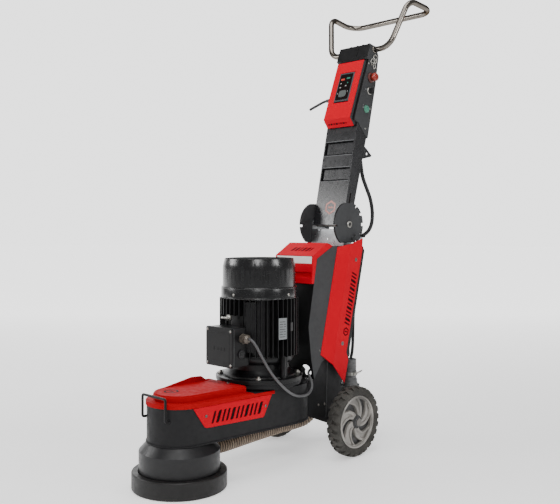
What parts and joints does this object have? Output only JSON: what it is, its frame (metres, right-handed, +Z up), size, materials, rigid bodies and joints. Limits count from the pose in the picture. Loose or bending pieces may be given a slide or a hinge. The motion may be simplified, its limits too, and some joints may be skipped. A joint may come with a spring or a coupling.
{
  "type": "concrete grinder",
  "caption": "Walk-behind single-head concrete grinder with belt-driven disc, upright electric motor, transport wheels and a folding control mast.",
  "frame": {"origin": "on the floor under the middle of the machine's bounding box", "axes": "+Z up, -Y towards the grinding head, +X towards the side with the push buttons"},
  "size_m": [0.43, 1.283, 1.7],
  "materials": {
    "rubber_skirt": "matt with fine scuffs",
    "black_paint": "satin black paint",
    "dark_grey_paint": "satin dark grey paint",
    "panel_grey": "satin grey powder coat",
    "red_paint": "gloss red powder coat",
    "steel": "machined steel",
    "stainless": "polished stainless tube",
    "cast_iron": "as cast, machined faces",
    "diamond": "sintered metal bond",
    "belt_rubber": "matt",
    "cast_black": "painted casting",
    "winding": "varnished copper winding",
    "fan_plastic": "matt",
    "box_black": "satin painted casting",
    "black_plastic": "matt",
    "grey_plastic": "matt",
    "cable_grey": "flexible sheath",
    "cable_black": "flexible sheath",
    "tyre": "dusty",
    "rim_grey": "silver grey",
    "lens": "frosted lens",
    "red_plastic": "gloss",
    "green_plastic": "gloss",
    "hose": "ribbed, dusty",
    "port_grey": "matt"
  },
  "bodies": {
    "frame": {"dust_shroud": "dark_grey_paint", "spindle_housing": "cast_iron", "bearings": "steel", "drive_belt": "belt_rubber", "belt_housing": "dark_grey_paint", "belt_lid": "red_paint", "side_badges": "red_paint", "case_screws": "steel", "front_guard": "black_paint", "motor_adapter": "dark_grey_paint", "motor_flange": "cast_black", "flange_bolts": "steel", "motor_body": "cast_black", "stator": "winding", "end_shield": "cast_black", "fan_cowl": "black_paint", "motor_screws": "steel", "terminal_box": "box_black", "terminal_lid": "box_black", "cable_gland": "grey_plastic", "blank_plug": "black_plastic", "motor_cable": "cable_grey", "chassis_frame": "dark_grey_paint", "axle": "steel", "column": "panel_grey", "cover_left": "red_paint", "cover_right": "red_paint", "lamp_housing": "red_paint", "lamp_lens": "lens", "pivot_bracket": "stainless", "pivot_pin": "steel", "dust_hose": "hose", "vacuum_port": "port_grey", "port_clamp": "steel"},
    "skirt": {"floor_skirt": "rubber_skirt"},
    "head": {"grinding_plate": "steel", "diamond_segments": "diamond", "spindle": "steel", "spindle_pulley": "cast_iron"},
    "rotor": {"motor_pulley": "cast_iron", "rotor_shaft": "steel", "cooling_fan": "fan_plastic"},
    "wheel_left": {"tyre_left": "tyre", "rim_left": "rim_grey"},
    "wheel_right": {"tyre_right": "tyre", "rim_right": "rim_grey"},
    "mast": {"mast": "black_paint", "mast_discs": "black_paint", "mast_conduit": "cable_black", "control_box": "panel_grey", "control_cover": "red_paint", "drive_unit": "grey_plastic", "control_bezels": "black_plastic", "handlebar": "stainless", "lead_gland": "black_plastic", "power_lead": "cable_black"},
    "lock": {"lock_bar": "black_paint"},
    "estop": {"estop_head": "red_plastic"},
    "selector": {"selector_knob": "black_plastic"},
    "start": {"start_button": "green_plastic"}
  },
  "joints": [
    {"name": "skirt_float", "type": "slide", "parent": "frame", "child": "skirt", "axis": [0, 0, 1], "range_m": [0, 0.012]},
    {"name": "motor_spin", "type": "hinge", "parent": "frame", "child": "rotor", "pos_m": [0, -0.1415, 0.3], "axis": [0, 0, 1], "continuous": true},
    {"name": "head_spin", "type": "hinge", "parent": "frame", "child": "head", "pos_m": [0, -0.49151, 0.1], "axis": [0, 0, 1], "continuous": true},
    {"name": "wheel_left_spin", "type": "hinge", "parent": "frame", "child": "wheel_left", "pos_m": [-0.188, 0.1445, 0.124], "axis": [1, 0, 0], "continuous": true},
    {"name": "wheel_right_spin", "type": "hinge", "parent": "frame", "child": "wheel_right", "pos_m": [0.188, 0.1445, 0.124], "axis": [1, 0, 0], "continuous": true},
    {"name": "mast_tilt", "type": "hinge", "parent": "frame", "child": "mast", "pos_m": [0, 0.24349, 0.826], "axis": [1, 0, 0], "range_deg": [-28, 84], "deforming": ["mast_conduit"]},
    {"name": "lock_slide", "type": "slide", "parent": "frame", "child": "lock", "axis": [0, -0.8829, 0.4695], "range_m": [0, 0.012]},
    {"name": "estop_press", "type": "slide", "parent": "mast", "child": "estop", "axis": [-1, 0, 0], "range_m": [0, 0.005], "stiffness_N_per_m": 700},
    {"name": "selector_turn", "type": "hinge", "parent": "mast", "child": "selector", "pos_m": [0.08, 0.38099, 1.34453], "axis": [1, 0, 0], "range_deg": [-45, 45]},
    {"name": "start_press", "type": "slide", "parent": "mast", "child": "start", "axis": [-1, 0, 0], "range_m": [0, 0.0025], "stiffness_N_per_m": 500}
  ],
  "couplings": [
    {"joint": "head_spin", "follows": "motor_spin", "ratio": 0.80645}
  ]
}
